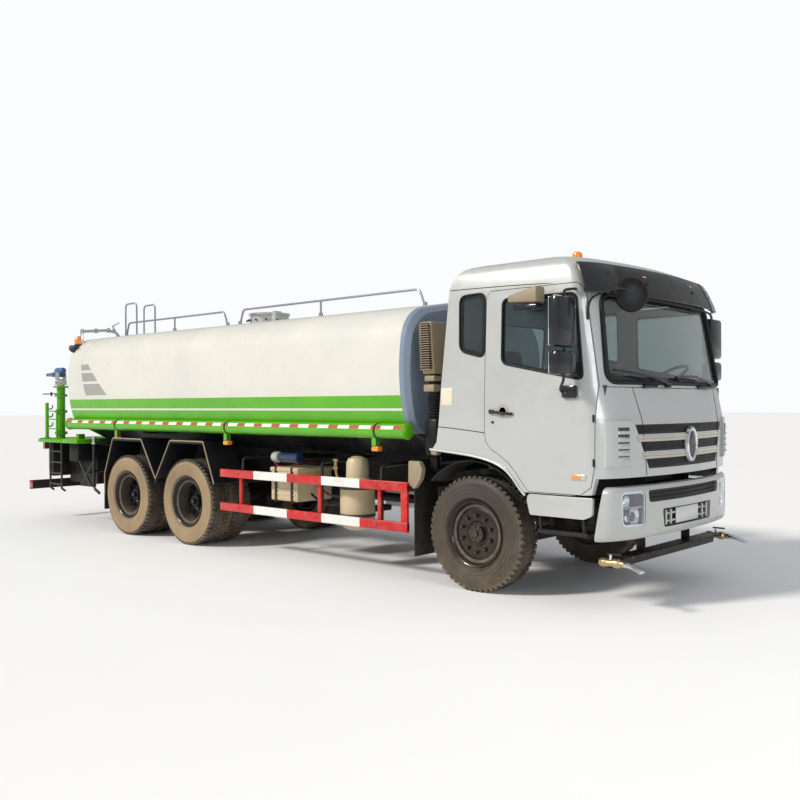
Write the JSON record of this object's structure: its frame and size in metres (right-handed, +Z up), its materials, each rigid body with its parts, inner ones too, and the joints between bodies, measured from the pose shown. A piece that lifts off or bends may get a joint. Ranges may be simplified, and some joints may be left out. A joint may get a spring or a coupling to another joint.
{
  "type": "tanker truck",
  "caption": "Cab-over tanker truck with a long rounded water tank, tilting cab, opening doors, steered front wheels, twin rear wheels and a rear water cannon.",
  "frame": {"origin": "on the ground under the middle of the whole truck", "axes": "+X forward, +Y to the truck's left, +Z up"},
  "size_m": [10.166, 3.07, 3.283],
  "materials": {
    "chassis_black": "satin black",
    "cast_grey": "rough cast",
    "tank_white": "gloss off-white with a green lower band",
    "rail_steel": "satin grey",
    "body_green": "gloss green",
    "guard_red": "gloss red and white bands",
    "mudguard_black": "satin black",
    "rubber_black": "matt rubber",
    "equipment_cream": "satin cream",
    "tank_alloy": "brushed",
    "plastic_black": "grained",
    "cab_silver": "gloss silver",
    "lamp_glass": "clear lens over a bright reflector",
    "lamp_red": "red lens",
    "window_glass": "clear with a light tint",
    "visor_smoked": "smoked",
    "seat_cloth": "woven",
    "brass_fitting": "cast",
    "cannon_blue": "gloss blue",
    "tyre_rubber": "dusty rubber",
    "rim_dark": "satin dark brown-black"
  },
  "bodies": {
    "chassis": {"frame": "chassis_black", "engine_block": "cast_grey", "front_axle": "chassis_black", "suspension": "chassis_black", "rear_axles_and_shafts": "chassis_black", "tank_shell": "tank_white", "manhole_neck": "tank_white", "tank_rails": "rail_steel", "side_tubes": "body_green", "side_guards": "guard_red", "rear_mudguards": "mudguard_black", "front_mudguards": "rubber_black", "right_equipment": "equipment_cream", "fuel_and_air_tanks": "tank_alloy", "air_intake": "plastic_black", "front_bumper": "cab_silver", "headlamps": "lamp_glass", "spray_bar": "chassis_black", "side_steps": "cab_silver", "rear_platform": "body_green", "cannon_pedestal": "body_green", "pump_boxes": "chassis_black", "rear_bumper": "chassis_black", "rear_lamps": "lamp_red"},
    "cab": {"cab_shell": "cab_silver", "front_panel": "cab_silver", "cab_windows": "window_glass", "sun_visor": "visor_smoked", "roof_fittings": "plastic_black", "seats": "seat_cloth", "dashboard": "plastic_black"},
    "left_door": {"door_left": "cab_silver", "door_glass_left": "window_glass"},
    "right_door": {"door_right": "cab_silver", "door_glass_right": "window_glass"},
    "lid": {"manhole_lid": "tank_white"},
    "cannon_base": {"cannon_swivel": "brass_fitting"},
    "cannon": {"cannon_barrel": "cannon_blue"},
    "knuckle_left_body": {"knuckle_left": "cast_grey"},
    "knuckle_right_body": {"knuckle_right": "cast_grey"},
    "front_wheel_left": {"front_tyre_left": "tyre_rubber", "front_rim_left": "rim_dark"},
    "front_wheel_right": {"front_tyre_right": "tyre_rubber", "front_rim_right": "rim_dark"},
    "middle_wheels_left": {"middle_tyres_left": "tyre_rubber", "middle_rims_left": "rim_dark"},
    "middle_wheels_right": {"middle_tyres_right": "tyre_rubber", "middle_rims_right": "rim_dark"},
    "rear_wheels_left": {"rear_tyres_left": "tyre_rubber", "rear_rims_left": "rim_dark"},
    "rear_wheels_right": {"rear_tyres_right": "tyre_rubber", "rear_rims_right": "rim_dark"}
  },
  "joints": [
    {"name": "steer_left", "type": "hinge", "parent": "chassis", "child": "knuckle_left_body", "pos_m": [3.457, 0.84, 0.528], "axis": [0, 0, 1], "range_deg": [-35, 35]},
    {"name": "front_wheel_left_spin", "type": "hinge", "parent": "knuckle_left_body", "child": "front_wheel_left", "pos_m": [3.457, 1.01, 0.528], "axis": [0, 1, 0], "continuous": true},
    {"name": "steer_right", "type": "hinge", "parent": "chassis", "child": "knuckle_right_body", "pos_m": [3.457, -0.84, 0.528], "axis": [0, 0, 1], "range_deg": [-35, 35]},
    {"name": "front_wheel_right_spin", "type": "hinge", "parent": "knuckle_right_body", "child": "front_wheel_right", "pos_m": [3.457, -1.01, 0.528], "axis": [0, 1, 0], "continuous": true},
    {"name": "middle_wheels_left_spin", "type": "hinge", "parent": "chassis", "child": "middle_wheels_left", "pos_m": [-0.893, 0.945, 0.528], "axis": [0, 1, 0], "continuous": true},
    {"name": "middle_wheels_right_spin", "type": "hinge", "parent": "chassis", "child": "middle_wheels_right", "pos_m": [-0.893, -0.945, 0.528], "axis": [0, 1, 0], "continuous": true},
    {"name": "rear_wheels_left_spin", "type": "hinge", "parent": "chassis", "child": "rear_wheels_left", "pos_m": [-2.243, 0.945, 0.528], "axis": [0, 1, 0], "continuous": true},
    {"name": "rear_wheels_right_spin", "type": "hinge", "parent": "chassis", "child": "rear_wheels_right", "pos_m": [-2.243, -0.945, 0.528], "axis": [0, 1, 0], "continuous": true},
    {"name": "cab_tilt", "type": "hinge", "parent": "chassis", "child": "cab", "pos_m": [4.877, 0, 0.8], "axis": [0, 1, 0], "range_deg": [0, 45]},
    {"name": "door_left_hinge", "type": "hinge", "parent": "cab", "child": "left_door", "pos_m": [4.749, 1.242, 1.5], "axis": [0, 0, -1], "range_deg": [0, 70]},
    {"name": "door_right_hinge", "type": "hinge", "parent": "cab", "child": "right_door", "pos_m": [4.749, -1.242, 1.5], "axis": [0, 0, 1], "range_deg": [0, 70]},
    {"name": "manhole_lid_hinge", "type": "hinge", "parent": "chassis", "child": "lid", "pos_m": [-1.093, 0, 2.8933], "axis": [0, -1, 0], "range_deg": [0, 100]},
    {"name": "cannon_turn", "type": "hinge", "parent": "chassis", "child": "cannon_base", "pos_m": [-4.393, -1.04, 2.0063], "axis": [0, 0, 1], "range_deg": [-120, 120]},
    {"name": "cannon_raise", "type": "hinge", "parent": "cannon_base", "child": "cannon", "pos_m": [-4.393, -1.04, 2.1823], "axis": [0, 1, 0], "range_deg": [-15, 60]}
  ],
  "couplings": [
    {"joint": "steer_right", "follows": "steer_left", "ratio": 1}
  ]
}
